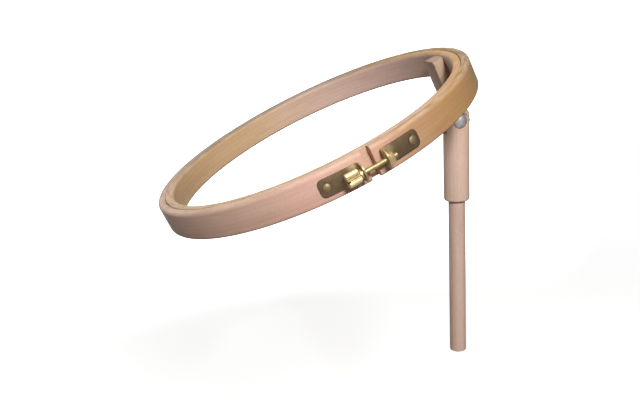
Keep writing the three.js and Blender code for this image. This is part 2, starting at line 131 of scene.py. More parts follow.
class Paint:
    def __init__(self, tree):
        self.tree = tree

    def node(self, kind, settings=None, inputs=None, output=0):
        node = self.tree.nodes.new(kind)
        for key, value in (settings or {}).items():
            setattr(node, key, value)
        for key, value in (inputs or {}).items():
            self.feed(node.inputs[key], value)
        return Wire(self, node.outputs[output])

    def feed(self, socket, value):
        if isinstance(value, Wire):
            self.tree.links.new(value.socket, socket)
        else:
            socket.default_value = value

    def surface(self, values):
        for key, value in values.items():
            self.feed(self.tree.nodes["Principled BSDF"].inputs[key], value)

    def split(self, vector):
        return [self.node("ShaderNodeSeparateXYZ", inputs={0: vector}, output=k) for k in range(3)]

    def axes(self, place):  # Object coordinates in a piece's own place
        where = self.node("ShaderNodeTexCoord", output="Object")
        return self.split(self.node("ShaderNodeMapping", {"vector_type": "TEXTURE"}, {
            "Vector": where,
            "Location": place.to_translation(),
            "Rotation": place.to_euler(),
        }))

    def noise(self, x, y, z, detail=2.0):
        spot = self.node("ShaderNodeCombineXYZ", inputs={0: x, 1: y, 2: z})
        return self.node("ShaderNodeTexNoise", inputs={"Vector": spot, "Scale": 1.0, "Detail": detail})

    def step(self, value, low, high, start=0.0, end=1.0):
        return self.node("ShaderNodeMapRange", {"interpolation_type": "SMOOTHSTEP"},
                         {0: value, 1: low, 2: high, 3: start, 4: end})

    def mix(self, amount, first, second, blend="MIX"):
        return self.node("ShaderNodeMix", {"data_type": "RGBA", "blend_type": blend},
                         {0: amount, 6: first, 7: second}, output=2)

    def bump(self, height, strength, distance):
        return self.node("ShaderNodeBump", inputs={
            "Height": height, "Strength": strength, "Distance": distance})


def newPaint(name):
    material = bpy.data.materials.new(name)
    material.use_nodes = True
    return material, Paint(material.node_tree)


def tone(red, green, blue):  # a colour as seen on screen, 0 to 255
    def linear(part):
        part = part / 255
        return part / 12.92 if part <= 0.04045 else ((part + 0.055) / 1.055) ** 2.4
    return (linear(red), linear(green), linear(blue), 1.0)


# Beech, with its growth rings, fibres and short dark flecks
# A grain is how fine a pattern is along and across the fibres, and its detail
beech = {
    "ringSpacing": 0.0031,
    "waver": 0.0026,
    "waverGrain": (7, 45, 2.0),
    "pith": (0.021, -0.034),
    "growthShare": 0.16,
    "growthRelief": 0.2,
    "fibreGrain": (90, 1900, 3.0),
    "fibreShare": 0.4,
    "fibreRelief": 0.5,
    "fibreRoughness": 0.3,
    "mottleGrain": (5, 60, 3.0),
    "mottleShift": 3.1,
    "mottleLevels": (0.3, 0.7),
    "mottleShare": 0.5,
    "paleShift": 0.05,
    "fleck": tone(128, 84, 58),
    "fleckGrain": (390, 3600, 1.0),
    "fleckLevels": (0.62, 0.7),
    "fleckShare": 0.35,
    "fleckRelief": 0.5,
    "grime": tone(96, 72, 56),
    "grimeGrain": (21, 90, 4.0),
    "grimeShift": 8.2,
    "grimeLevels": (0.52, 0.78),
    "grimeShare": 0.1,
    "grimeRoughness": 0.12,
    "worn": tone(250, 232, 202),
    "wornReach": (0.34, 0.52),
    "wornShare": 0.35,
    "rubGrain": (9, 300, 3.0),
    "rubLevels": (0.35, 0.7),
    "rimReach": (0.4, 0.5),
    "drift": 0.3,
    "driftGrain": (3, 20, 2.0),
    "handled": tone(176, 140, 116),
    "handledGrain": (18, 40, 3.0),
    "handledLevels": (0.45, 0.75),
    "handledShare": 0.16,
    "roughness": 0.6,
    "gloss": 0.25,
    "bumpStrength": 0.2,
    "bumpDepth": 0.00012,
}


def beechColour(paint, along, sideways, upward, pale, deep):
    def pattern(name, shift=0.0):
        lengthwise, across, detail = beech[name]
        return paint.noise(along * lengthwise + shift, sideways * across, upward * across, detail)

    fromPithX = sideways - beech["pith"][0]
    fromPithY = upward - beech["pith"][1]
    waver = (pattern("waverGrain") - 0.5) * beech["waver"]
    fromPith = (fromPithX * fromPithX + fromPithY * fromPithY).root() + waver
    growth = (fromPith * (fullTurn / beech["ringSpacing"])).sine() * 0.5 + 0.5
    fibres = pattern("fibreGrain")
    mottle = paint.step(pattern("mottleGrain", beech["mottleShift"]), *beech["mottleLevels"])
    flecks = paint.step(pattern("fleckGrain"), *beech["fleckLevels"])
    grime = paint.step(pattern("grimeGrain", beech["grimeShift"]), *beech["grimeLevels"])
    depth = growth * beech["growthShare"] + fibres * beech["fibreShare"] + mottle * beech["mottleShare"]
    wood = paint.mix(depth - beech["paleShift"], pale, deep)
    wood = paint.mix(flecks * beech["fleckShare"], wood, beech["fleck"])
    wood = paint.mix(grime * beech["grimeShare"], wood, beech["grime"])
    rough = (fibres - 0.5) * beech["fibreRoughness"] + grime * beech["grimeRoughness"]
    relief = fibres * beech["fibreRelief"] + growth * beech["growthRelief"] - flecks * beech["fleckRelief"]
    paint.surface({
        "Roughness": beech["roughness"] + rough,
        "Specular IOR Level": beech["gloss"],
        "Normal": paint.bump(relief, beech["bumpStrength"], beech["bumpDepth"]),
    })
    return wood


def ringWood(name, place, radius, look):
    material, paint = newPaint(name)
    x, y, z = paint.axes(place)
    turn = x.math("ARCTAN2", 0 - y, 0 - x)  # its seam lies at x, by the split or the leg
    fromAxis = (x * x + y * y).root()
    wood = beechColour(paint, turn * radius, fromAxis - radius, z, look["pale"], look["deep"])
    around, across, detail = beech["driftGrain"]
    drift = (paint.noise(turn * around, z * across, fromAxis * across, detail) - 0.5) * beech["drift"]
    around, across, detail = beech["rubGrain"]
    rub = paint.step(paint.noise(turn * around, fromAxis * across, z * across, detail), *beech["rubLevels"])

    def paintShade(wood, share, paintedShades):  # a painted shade has its side, reach and colour, and multiplies that side darker
        for side, reach, shadeColour in paintedShades:
            towards = x * (side[0] / radius) + y * (side[1] / radius) + drift
            wood = paint.mix(share * paint.step(towards, *reach), wood, shadeColour, "MULTIPLY")
        return wood

    def nearRim(reach):  # reach is in shares of the ring's depth
        return paint.step(abs(z), *[share * hoops["depth"] for share in reach])

    # Painted shade: these colours darken one side of the ring, and its rims there, standing in for light
    # that falls off
    wood = paintShade(wood, 1.0, look["paintedShades"])
    wood = paint.mix(nearRim(beech["wornReach"]) * rub * beech["wornShare"], wood, beech["worn"])
    wood = paintShade(wood, nearRim(beech["rimReach"]), look["rimPaintedShades"])
    paint.surface({"Base Color": wood})
    return material


def stemWood(name, place, pale, deep):
    material, paint = newPaint(name)
    x, y, z = paint.axes(place)
    wood = beechColour(paint, z, x, y, pale, deep)
    lengthwise, across, detail = beech["handledGrain"]
    handled = paint.noise(x * across, y * across, z * lengthwise, detail)
    handled = paint.step(handled, *beech["handledLevels"]) * beech["handledShare"]
    paint.surface({"Base Color": paint.mix(handled, wood, beech["handled"])})
    return material


# Brass goes brown and olive where it isn't handled
brass = {
    "clean": tone(194, 174, 130),
    "dull": tone(164, 141, 100),
    "stained": tone(90, 72, 58),
    "roughness": 0.38,
    "cloudScale": 160,
    "cloudRoughness": 0.16,
    "scratchScale": (2600, 260, 2600),
    "scratchRoughness": 0.1,
    "scratchRelief": 0.4,
    "cloudRelief": 0.6,
    "spotScale": 700,
    "spotDetail": 2.0,
    "spotLevels": (0.66, 0.74),
    "spotShare": 0.5,
    "spotRoughness": 0.2,
    "bumpStrength": 0.06,
    "tarnishReach": (0.004, 0.022),
    "tarnishWaver": 0.012,
    "tarnishRoughness": 0.1,
}

# Zinc-plated steel
steel = {
    "clean": tone(190, 188, 186),
    "dull": tone(150, 148, 146),
    "stained": tone(92, 78, 66),
    "roughness": 0.22,
    "cloudScale": 190,
    "cloudRoughness": 0.0,
    "scratchScale": (1800, 1800, 240),
    "scratchRoughness": 0.14,
    "scratchRelief": 0.5,
    "cloudRelief": 0.5,
    "spotScale": 520,
    "spotDetail": 3.0,
    "spotLevels": (0.66, 0.76),
    "spotShare": 0.45,
    "spotRoughness": 0.25,
    "bumpStrength": 0.05,
}
metalCloud = {"detail": 4.0, "colourLevels": (0.35, 0.7), "roughLevels": (0.3, 0.8)}
metalBumpDepth = 0.0001


def metalFinish(name, place, metal, tarnish=0.0):  # tarnish is its share away from the split
    material, paint = newPaint(name)
    x, y, z = paint.axes(place)
    across, around, along = metal["scratchScale"]
    scratch = paint.noise(x * across, y * around, z * along)
    scale = metal["cloudScale"]
    cloud = paint.noise(x * scale, y * scale, z * scale, metalCloud["detail"])
    scale = metal["spotScale"]
    spots = paint.noise(x * scale, y * scale, z * scale, metal["spotDetail"])
    spots = paint.step(spots, *metal["spotLevels"])
    colour = paint.mix(paint.step(cloud, *metalCloud["colourLevels"]), metal["clean"], metal["dull"])
    rough = paint.step(cloud, *metalCloud["roughLevels"]) * metal["cloudRoughness"] + metal["roughness"]
    if tarnish:
        fromSplit = abs(y) + (cloud - 0.5) * metal["tarnishWaver"]
        stain = paint.step(fromSplit, *metal["tarnishReach"])
        colour = paint.mix(stain * tarnish, colour, metal["stained"])
        rough = rough + stain * metal["tarnishRoughness"]
    relief = scratch * metal["scratchRelief"] + cloud * metal["cloudRelief"]
    paint.surface({
        "Base Color": paint.mix(spots * metal["spotShare"], colour, metal["stained"]),
        "Metallic": 1.0,
        "Roughness": rough + scratch * metal["scratchRoughness"] + spots * metal["spotRoughness"],
        "Normal": paint.bump(relief, metal["bumpStrength"], metalBumpDepth),
    })
    return material


# The hoops' tones, with painted shade: the side colours darken one side of a ring, and the rim ones only its
# edges there
outerLook = {
    "pale": tone(234, 190, 172),
    "deep": tone(212, 166, 148),
    # painted shade: darker towards the right end, the left end and the far side
    "paintedShades": [
        ((0, 1), (-0.3, 0.6), (0.64, 0.59, 0.31, 1.0)),
        ((0, 1), (0.6, 1.0), (0.735, 0.79, 0.865, 1.0)),
        ((0, -1), (0.3, 0.85), (0.8, 0.86, 0.82, 1.0)),
        ((-1, 0), (0.2, 0.9), (0.84, 0.86, 0.9, 1.0)),
    ],
    # painted shade: the far rims darker
    "rimPaintedShades": [
        ((-1, 0), (0.1, 0.8), (0.68, 0.72, 0.78, 1.0)),
    ],
}
innerLook = {
    "pale": tone(232, 201, 187),
    "deep": tone(208, 173, 158),
    # painted shade: the bore darker and yellower away from the leg
    "paintedShades": [
        ((-1, 0), (-0.6, 0.45), (0.82, 0.77, 0.52, 1.0)),
    ],
    # painted shade: the far rims darker, the rims by the leg darker and yellower, the near rims a little
    # darker
    "rimPaintedShades": [
        ((0, 1), (0.1, 0.8), (0.62, 0.67, 0.74, 1.0)),
        ((1, 0), (0.3, 0.8), (0.88, 0.72, 0.38, 1.0)),
        ((0, -1), (0.3, 0.8), (0.94, 0.9, 0.84, 1.0)),
    ],
}
stemTones = {
    "dowel": (tone(222, 191, 173), tone(200, 168, 151)),
    "barrel": (tone(228, 197, 177), tone(206, 173, 154)),
    "leg": (tone(197, 167, 145), tone(172, 140, 121)),
}
tarnished = {"strip": 0.88, "rivet": 0.6}
barrelGrain = Matrix.Translation((0.013, 0.021, 0.4))  # cut from another part of the plank

outerWood = ringWood("outerHoopBeech", clampPlace, hoops["outerRadius"], outerLook)
innerWood = ringWood("innerHoopBeech", hoopPlace, hoops["innerOutside"], innerLook)
dowelWood = stemWood("dowelBeech", stemPlace, *stemTones["dowel"])
barrelWood = stemWood("barrelBeech", barrelGrain, *stemTones["barrel"])
legWood = stemWood("legBeech", legPlace, *stemTones["leg"])
stripBrass = metalFinish("stripBrass", clampPlace, brass, tarnished["strip"])
rivetBrass = metalFinish("rivetBrass", clampPlace, brass, tarnished["rivet"])
screwBrass = metalFinish("screwBrass", screwPlace, brass)
boltSteel = metalFinish("boltSteel", boltPlace, steel)
screwSteel = metalFinish("woodScrewSteel", hoopPlace, steel)
print("finishes mixed")

# Bench operations and the small distances that they use
bench = {
    "weld": 0.000002,  # corners closer than this become one
    "near": 0.00001,  # this close to a place counts as there
    "past": 0.0001,  # how far a cutter runs past a face
    "spare": 0.003,  # extra length of blanks and cutters
    "far": 0.01,  # clear of any small piece
    "smoothAngle": 32,
}


def takeUp(piece):
    if bpy.context.object and bpy.context.object.mode != "OBJECT":
        bpy.ops.object.mode_set(mode="OBJECT")
    bpy.ops.object.select_all(action="DESELECT")
    if piece:
        piece.select_set(True)
        bpy.context.view_layer.objects.active = piece


def settle(piece, place):
    takeUp(piece)
    piece.matrix_world = place
    bpy.ops.object.transform_apply(location=True, rotation=True, scale=True)


def keepNew(name, size=(1, 1, 1)):
    piece = bpy.context.object
    piece.name = name
    piece.scale = size
    bpy.ops.object.transform_apply(location=True, rotation=True, scale=True)
    return piece


def editAll(piece):
    takeUp(piece)
    bpy.ops.object.mode_set(mode="EDIT")
    bpy.ops.mesh.select_mode(type="VERT")
    bpy.ops.mesh.select_all(action="SELECT")


def pick(piece, kind, wanted):  # wanted judges a corner or an edge's middle
    takeUp(piece)
    bpy.ops.object.mode_set(mode="EDIT")
    bpy.ops.mesh.select_mode(type=kind)
    bpy.ops.mesh.select_all(action="DESELECT")
    bpy.ops.object.mode_set(mode="OBJECT")
    mesh = piece.data
    if kind == "VERT":
        for corner in mesh.vertices:
            corner.select = bool(wanted(corner.co))
    else:
        for edge in mesh.edges:
            first, second = [mesh.vertices[k].co for k in edge.vertices]
            edge.select = bool(wanted((first + second) / 2))
    bpy.ops.object.mode_set(mode="EDIT")


def at(value, place):
    return abs(value - place) < bench["near"]


def cleanMesh(piece):
    editAll(piece)
    bpy.ops.mesh.remove_doubles(threshold=bench["weld"])
    bpy.ops.mesh.normals_make_consistent(inside=False)
    bpy.ops.object.mode_set(mode="OBJECT")


def change(piece, kind, settings):
    modifier = piece.modifiers.new(kind.lower(), kind)
    for key, value in settings.items():
        setattr(modifier, key, value)
    takeUp(piece)
    bpy.ops.object.modifier_apply(modifier=modifier.name)


def carve(piece, cutter, operation="DIFFERENCE"):
    change(piece, "BOOLEAN", {"operation": operation, "solver": "EXACT", "object": cutter})
    bpy.data.objects.remove(cutter)


def softenEdges(piece, width, segments=2, angle=35):
    change(piece, "BEVEL", {"width": width, "segments": segments, "limit_method": "ANGLE",
                            "angle_limit": math.radians(angle)})


def copyPiece(piece, name):
    takeUp(piece)
    bpy.ops.object.duplicate(linked=False)
    bpy.context.object.name = name
    return bpy.context.object


def finishPiece(piece, place, body, node, material):
    cleanMesh(piece)
    settle(piece, place)
    bpy.ops.object.shade_smooth_by_angle(angle=math.radians(bench["smoothAngle"]))
    piece.data.materials.clear()
    piece.data.materials.append(material)
    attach(piece, body)
    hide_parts(node)
    corners = [vertex.co for vertex in piece.data.vertices]
    low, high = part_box(node)
    apart = [max(abs(min(c[k] for c in corners) - low[k]), abs(max(c[k] for c in corners) - high[k]))
             for k in range(3)]
    print(piece.name, "made:", len(corners), "corners,",
          round(max(apart) * 1000, 2), "mm from its solid's box")


def rod(name, radius, start, end, place=Matrix.Identity(4), sides=96):
    takeUp(None)
    bpy.ops.mesh.primitive_cylinder_add(vertices=sides, radius=radius, depth=end - start,
                                        location=(0, 0, (start + end) / 2))
    piece = keepNew(name)
    settle(piece, place)
    return piece


def alongY(x, z):
    return Matrix.Translation((x, 0, z)) @ Matrix.Rotation(-quarterTurn, 4, "X")


def block(name, low, high):
    takeUp(None)
    middle = [(a + b) / 2 for a, b in zip(low, high)]
    bpy.ops.mesh.primitive_cube_add(size=1, location=middle)
    return keepNew(name, [b - a for a, b in zip(low, high)])


def roundEdges(piece, wanted, radius):
    pick(piece, "EDGE", wanted)
    bpy.ops.mesh.bevel(offset=radius, segments=12, affect="EDGES")
    bpy.ops.object.mode_set(mode="OBJECT")


def turnPiece(name, profile, sides=96):  # profile lists radius and height, from below
    takeUp(None)
    radius, height = profile[0]
    bpy.ops.mesh.primitive_circle_add(vertices=sides, radius=radius, fill_type="NGON",
                                      location=(0, 0, height))
    piece = keepNew(name)
    editAll(piece)
    for nextRadius, nextHeight in profile[1:]:
        bpy.ops.mesh.extrude_region_move(TRANSFORM_OT_translate={"value": (0, 0, nextHeight - height)})
        grow = nextRadius / radius
        bpy.ops.transform.resize(value=(grow, grow, 1), center_override=(0, 0, nextHeight))
        radius, height = nextRadius, nextHeight
    cleanMesh(piece)
    return piece


def roundPath(radius, height, across, up, start, end, steps=10):
    turns = [start + (end - start) * k / steps for k in range(steps + 1)]
    return [(radius + across * math.cos(turn), height + up * math.sin(turn)) for turn in turns]


def sweep(angle, steps, centre=(0, 0, 0)):  # the spin operator counts clockwise
    bpy.ops.mesh.spin(steps=steps, angle=-angle, center=centre, axis=(0, 0, 1))


def bendRing(name, bore, outside, low, high, boreRound=0, outsideRound=0, gap=0, steps=320):
    takeUp(None)
    middle = (bore + outside) / 2
    start = gap / 2 / middle
    bpy.ops.mesh.primitive_plane_add(size=1, rotation=(quarterTurn, 0, start), location=(
        middle * math.cos(start), middle * math.sin(start), (low + high) / 2))
    ring = keepNew(name, (outside - bore, high - low, 1))
    for radius, rounding in ((bore, boreRound), (outside, outsideRound)):
        if rounding:
            pick(ring, "VERT", lambda spot: at(spot.xy.length, radius))
            bpy.ops.mesh.bevel(offset=rounding, segments=8, affect="VERTICES")
    editAll(ring)
    bpy.ops.mesh.delete(type="ONLY_FACE")
    bpy.ops.mesh.select_all(action="SELECT")
    sweep(fullTurn - 2 * start, steps)
    bpy.ops.mesh.select_all(action="SELECT")
    bpy.ops.mesh.remove_doubles(threshold=bench["weld"])
    if gap:
        bpy.ops.mesh.fill_holes(sides=0)
    cleanMesh(ring)
    return ring


def threadedRod(name, root, crest, pitch, start, end, chamfer, sides=40):
    takeUp(None)
    halfStep = 0.5 / sides  # of a turn: every cut passes midway between the thread's corners
    firstMiddle = start - (1.5 + halfStep) * pitch
    crestHalf = 0.15 * pitch
    bpy.ops.mesh.primitive_plane_add(size=pitch, location=(root + pitch / 2, 0, firstMiddle),
                                     rotation=(quarterTurn, 0, 0))
    thread = keepNew(name)
    pick(thread, "VERT", lambda spot: spot.x > root + pitch / 2)
    bpy.ops.mesh.delete(type="VERT")  # one upright edge is left
    bpy.ops.mesh.select_all(action="SELECT")
    bpy.ops.mesh.subdivide(number_cuts=7)
    pick(thread, "VERT", lambda spot: abs(spot.z - firstMiddle) < crestHalf)
    bpy.ops.transform.translate(value=(crest - root, 0, 0))
    turns = math.ceil((end - start) / pitch) + 1  # some are spare, and cut off below
    change(thread, "SCREW", {"axis": "Z", "angle": fullTurn, "screw_offset": pitch, "iterations": turns + 3,
                             "steps": sides, "render_steps": sides, "use_merge_vertices": False})
    editAll(thread)
    bpy.ops.mesh.remove_doubles(threshold=bench["near"])
    for height, clearing in ((start, {"clear_inner": True}), (start + turns * pitch, {"clear_outer": True})):
        bpy.ops.mesh.select_all(action="SELECT")
        bpy.ops.mesh.bisect(plane_co=(0, 0, height), plane_no=(0, 0, 1), threshold=bench["weld"],
                            use_fill=True, **clearing)
    cleanMesh(thread)
    wide = 1.2 * crest
    tip = turnPiece("tip", [
        (wide, start - pitch),
        (wide, end - chamfer - wide + crest),
        (crest - chamfer, end),
    ], sides)
    settle(tip, Matrix.Rotation(halfStep * fullTurn, 4, "Z"))
    carve(thread, tip, "INTERSECT")
    return thread


# Dowel and barrel: the stem, with a fork on top
stem = {
    "dowelRadius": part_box("lower_dowel")[1].x,
    "dowelTop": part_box("lower_dowel")[1].z,
    "dowelEdge": 0.0012,
    "radius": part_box("barrel")[1].x,
    "foot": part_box("barrel")[0].z,
    "footRound": 0.0025,
    "socketDepth": 0.0303,
    "forkWidth": 0.0088,
    "forkDepth": 0.0126,
    "seatRadius": 0.008,
    "seatAt": 0.0096,
    "boltHole": 0.0033,
    "neckDepth": 0.0032,
    "neckTrim": 0.00003,
    "roundTrim": 0.00004,  # keeps the round's cutter off the turned side
    "edge": 0.0004,
}


def makeDowel():
    radius, top, edge = stem["dowelRadius"], stem["dowelTop"], stem["dowelEdge"]
    dowel = turnPiece("lowerDowel", [
        *roundPath(radius - edge, edge, edge, edge, -quarterTurn, 0, steps=6),
        *roundPath(radius - edge, top - edge, edge, edge, 0, quarterTurn, steps=6),
    ])
    finishPiece(dowel, stemPlace, "stem", "lower_dowel", dowelWood)


def roundedOff(upper, radius, height):  # what is cut away to leave a half round along y
    far = 3 * radius
    start, end = (height - bench["past"], height + far) if upper else (height - far, height + bench["past"])
    waste = block("waste", (-far, -far, start), (far, far, end))
    carve(waste, rod("round", radius + stem["roundTrim"], -2 * far, 2 * far, alongY(0, height), sides=128))
    return waste


def makeBarrel():
    radius, foot, rounding = stem["radius"], stem["foot"], stem["footRound"]
    far = 2 * radius
    barrel = turnPiece("forkBarrel", [
        *roundPath(radius - rounding, foot + rounding, rounding, rounding, -quarterTurn, 0),
        (radius, pivot.z + radius + bench["spare"]),
    ], sides=128)
    carve(barrel, rod("socket", stem["dowelRadius"] + hoops["fit"], foot - far, foot + stem["socketDepth"]))
    carve(barrel, roundedOff(True, radius, pivot.z))
    half = stem["forkWidth"] / 2
    carve(barrel, block("fork", (-far, -half, pivot.z - stem["forkDepth"]), (far, half, pivot.z + far)))
    for start, end in ((stem["seatAt"], far), (-far, -stem["seatAt"])):
        carve(barrel, rod("seat", stem["seatRadius"], start, end, alongY(0, pivot.z)))
    carve(barrel, rod("hole", stem["boltHole"], -far, far, alongY(0, pivot.z), sides=48))
    neck, neckEnd = stem["boltHole"] + stem["neckTrim"], stem["seatAt"] - stem["neckDepth"]
    carve(barrel, block("neck", (-neck, -far, pivot.z - neck), (neck, -neckEnd, pivot.z + neck)))
    softenEdges(barrel, stem["edge"])
    finishPiece(barrel, stemPlace, "stem", "barrel", barrelWood)


makeDowel()
makeBarrel()

# Tilt bolt, washer and wing nut, all along z in the bolt's own place
tilt = {
    "headSeat": 0.0099,
    "headRadius": 0.0065,
    "headHeight": 0.0036,
    "headRim": 0.0007,
    "headEdge": 0.0002,
    "headPole": -1.5,
    "neck": 0.0032,
    "neckEdge": 0.0003,
    "radius": 0.003,
    "shankEdge": 0.0004,
    "threadRoot": 0.00245,
    "threadCrest": 0.00296,
    "threadPitch": 0.001,
    "threadFrom": 0.004,
    "threadOverlap": 0.001,
    "tip": 0.0234,
    "tipChamfer": 0.0007,
    "washerFrom": 0.0099,
    "washerTo": 0.0111,
    "washerRadius": 0.007,
    "washerRound": 0.0003,
    "holeRound": 0.00012,
    "hole": 0.0033,
    "nutFrom": 0.0114,
    "hubRadius": 0.00575,
    "hubEdge": 0.0004,
    "hubTopRadius": 0.0045,
    "hubTopEdge": 0.0005,
    "hubHeight": 0.0075,
    "wingRoot": 0.0034,
    "wingReach": 0.014,
    "wingHeight": 0.0125,
    "wingThickness": 0.0024,
    "wingEdge": 0.0006,
    "wingSweep": 0.0072,
    "wingTipRound": 0.0034,
    "wingHollow": 0.01185,
    "wingHollowAcross": -0.00269,
    "wingHollowUp": 0.01653,
    "castVoxel": 0.00028,
}


def makeBolt():
    seat, radius, rim = -tilt["headSeat"], tilt["radius"], tilt["headRim"]
    head, edge, shankEdge = tilt["headRadius"], tilt["headEdge"], tilt["shankEdge"]
    bolt = turnPiece("tiltBolt", [
        *roundPath(0, seat - rim, head, tilt["headHeight"] - rim, tilt["headPole"], 0, steps=14),
        (head, seat - edge),
        (head - edge, seat),
        (radius, seat),
        (radius, tilt["threadFrom"] - shankEdge),
        (radius - shankEdge, tilt["threadFrom"]),
    ], sides=64)
    neck = block("neck", (-radius, -radius, seat - rim / 2), (radius, radius, seat + tilt["neck"]))
    softenEdges(neck, tilt["neckEdge"])
    carve(bolt, neck, "UNION")
    thread = threadedRod("thread", tilt["threadRoot"], tilt["threadCrest"], tilt["threadPitch"],
                         tilt["threadFrom"] - tilt["threadOverlap"], tilt["tip"], tilt["tipChamfer"])
    carve(bolt, thread, "UNION")
    finishPiece(bolt, boltPlace, "stem", "pivot_bolt", boltSteel)


def makeWasher():
    washer = bendRing("tiltWasher", tilt["hole"], tilt["washerRadius"], tilt["washerFrom"], tilt["washerTo"],
                      tilt["holeRound"], tilt["washerRound"], steps=96)
    finishPiece(washer, boltPlace, "tilt_washer", "pivot_washer", boltSteel)


def makeWing(side):
    half, far = tilt["wingThickness"] / 2, bench["far"]
    low = tilt["nutFrom"] + half
    top = tilt["nutFrom"] + tilt["wingHeight"]
    outer = side * tilt["wingReach"]
    ends = sorted((side * tilt["wingRoot"], outer))
    wing = block("wing", (ends[0], -half, low), (ends[1], half, top))
    roundEdges(wing, lambda spot: at(spot.x, outer) and at(spot.z, low), tilt["wingSweep"])
    roundEdges(wing, lambda spot: at(spot.x, outer) and at(spot.z, top), tilt["wingTipRound"])
    hollowPlace = alongY(side * tilt["wingHollowAcross"], tilt["nutFrom"] + tilt["wingHollowUp"])
    carve(wing, rod("hollow", tilt["wingHollow"], -far, far, hollowPlace))
    softenEdges(wing, tilt["wingEdge"], segments=3, angle=60)
    return wing


def makeWingNut():
    base, top = tilt["nutFrom"], tilt["nutFrom"] + tilt["hubHeight"]
    nut = turnPiece("wingNut", [
        (tilt["hubRadius"] - tilt["hubEdge"], base),
        (tilt["hubRadius"], base + tilt["hubEdge"]),
        (tilt["hubTopRadius"], top - tilt["hubTopEdge"]),
        (tilt["hubTopRadius"] - tilt["hubTopEdge"], top),
    ], sides=64)
    for side in (1, -1):
        carve(nut, makeWing(side), "UNION")
    change(nut, "REMESH", {"mode": "VOXEL", "voxel_size": tilt["castVoxel"]})
    change(nut, "SMOOTH", {"factor": 0.5, "iterations": 6})
    carve(nut, rod("bore", tilt["hole"], base - bench["far"], top + bench["far"], sides=48))
    finishPiece(nut, boltPlace, "tilt_nut", "wing_nut", boltSteel)


makeBolt()
makeWasher()
makeWingNut()

# Wood screws that hold the leg to the inner hoop
woodScrew = {
    "headRadius": 0.0033,
    "headRim": 0.00025,
    "headSink": 0.0005,
    "shank": 0.0017,
    "neck": 0.0022,
    "threadRoot": 0.0012,
    "threadCrest": 0.00167,
    "threadPitch": 0.0013,
    "threadOverlap": 0.001,
    "threadTaper": 0.0014,
    "length": 0.0146,
    "tipLength": 0.0035,
    "tipRadius": 0.0001,
    "spacing": 0.012,
    "slot": 0.0009,
}


def screwPath(gap, start):
    head, shank = woodScrew["headRadius"] + gap, woodScrew["shank"] + gap
    rim = woodScrew["headRim"] + gap * math.tan(quarterTurn / 4)
    length = woodScrew["length"] + gap
    return [(head, start), (head, rim), (shank, rim + head - shank),
            (shank, length - woodScrew["tipLength"]), (woodScrew["tipRadius"], length)]


def screwSpot(level):
    return Vector((hoops["innerOutside"] - woodScrew["headSink"], 0, level * woodScrew["spacing"] / 2))


def intoRing(spot):  # z points from the ring's outside towards its middle
    return Matrix.Translation(spot) @ Matrix.Rotation(-quarterTurn, 4, "Y")


def screwHole(spot):
    hole = turnPiece("screwHole", screwPath(hoops["fit"], -bench["spare"]), sides=48)
    settle(hole, intoRing(spot))
    return hole


def makeWoodScrews():
    half, far = woodScrew["slot"] / 2, bench["far"]
    headPath = screwPath(0, 0)[:3]
    shank, neckStart = headPath[-1]
    neckEnd = neckStart + woodScrew["neck"]
    screw = turnPiece("legScrewUpper", [*headPath, (shank, neckEnd)], sides=64)
    thread = threadedRod("thread", woodScrew["threadRoot"], woodScrew["threadCrest"],
                         woodScrew["threadPitch"], neckEnd - woodScrew["threadOverlap"],
                         woodScrew["length"], woodScrew["threadTaper"], sides=32)
    carve(screw, thread, "UNION")
    carve(screw, block("slot", (-far, -half, -far), (far, half, woodScrew["slot"])))
    lower = copyPiece(screw, "legScrewLower")
    for piece, level, node in ((screw, 1, "leg_screw_upper"), (lower, -1, "leg_screw_lower")):
        finishPiece(piece, hoopPlace @ intoRing(screwSpot(level)), "hoop", node, screwSteel)


makeWoodScrews()

# Leg: tongue, round shoulder and a flat tab behind the inner hoop
leg = {
    "tongue": 0.008,
    "shoulder": 0.0128,
    "top": 0.0611,
    "topRound": 0.0015,
    "tabFace": 0.003,
    "tabStart": 0.021,
    "tabFillet": 0.009,
    "tabCorner": 0.005,
    "edge": 0.0004,
}


def makeLeg():
    radius, top, rounding = stem["radius"], leg["top"], leg["topRound"]
    far = 2 * radius
    piece = turnPiece("hoopLeg", [
        (radius, -radius - bench["spare"]),
        *roundPath(radius - rounding, top - rounding, rounding, rounding, 0, quarterTurn, steps=6),
    ], sides=128)
    carve(piece, roundedOff(False, radius, 0))
    for start, end in ((leg["tongue"] / 2, far), (-far, -leg["tongue"] / 2)):
        carve(piece, block("flat", (-far, start, -far), (far, end, leg["shoulder"])))
    tabFace, tabStart = -leg["tabFace"], leg["tabStart"]
    relief = block("relief", (-2 * far, -far, tabStart), (tabFace, far, top + far))
    roundEdges(relief, lambda spot: at(spot.x, tabFace) and at(spot.z, tabStart), leg["tabFillet"])
    carve(piece, relief)
    side = radius + bench["past"]
    outline = block("outline", (-far, -side, -far), (far, side, top + 2 * bench["past"]))
    roundEdges(outline, lambda spot: abs(spot.y) > radius and spot.z > top, leg["tabCorner"])
    carve(piece, outline, "INTERSECT")
    ledge = ringSpot.z - hoops["depth"] / 2 - hoops["fit"]
    seat = bendRing("seat", innerBore - hoops["fit"], hoops["outerRadius"] + bench["spare"],
                    ledge, top + bench["spare"])
    settle(seat, Matrix.Translation((ringSpot.x, 0, 0)))
    carve(piece, seat)
    carve(piece, rod("hole", stem["boltHole"], -far, far, alongY(0, 0), sides=48))
    for level in (1, -1):
        carve(piece, screwHole(ringSpot + screwSpot(level)))
    softenEdges(piece, leg["edge"])
    finishPiece(piece, legPlace, "hoop", "hoop_leg", legWood)


def makeInnerHoop():
    half = hoops["depth"] / 2
    ring = bendRing("innerHoop", innerBore, hoops["innerOutside"], -half, half,
                    hoops["handRound"], hoops["matingRound"])
    for level in (1, -1):
        carve(ring, screwHole(screwSpot(level)))
    finishPiece(ring, hoopPlace, "hoop", "inner_ring", innerWood)


makeLeg()
makeInnerHoop()

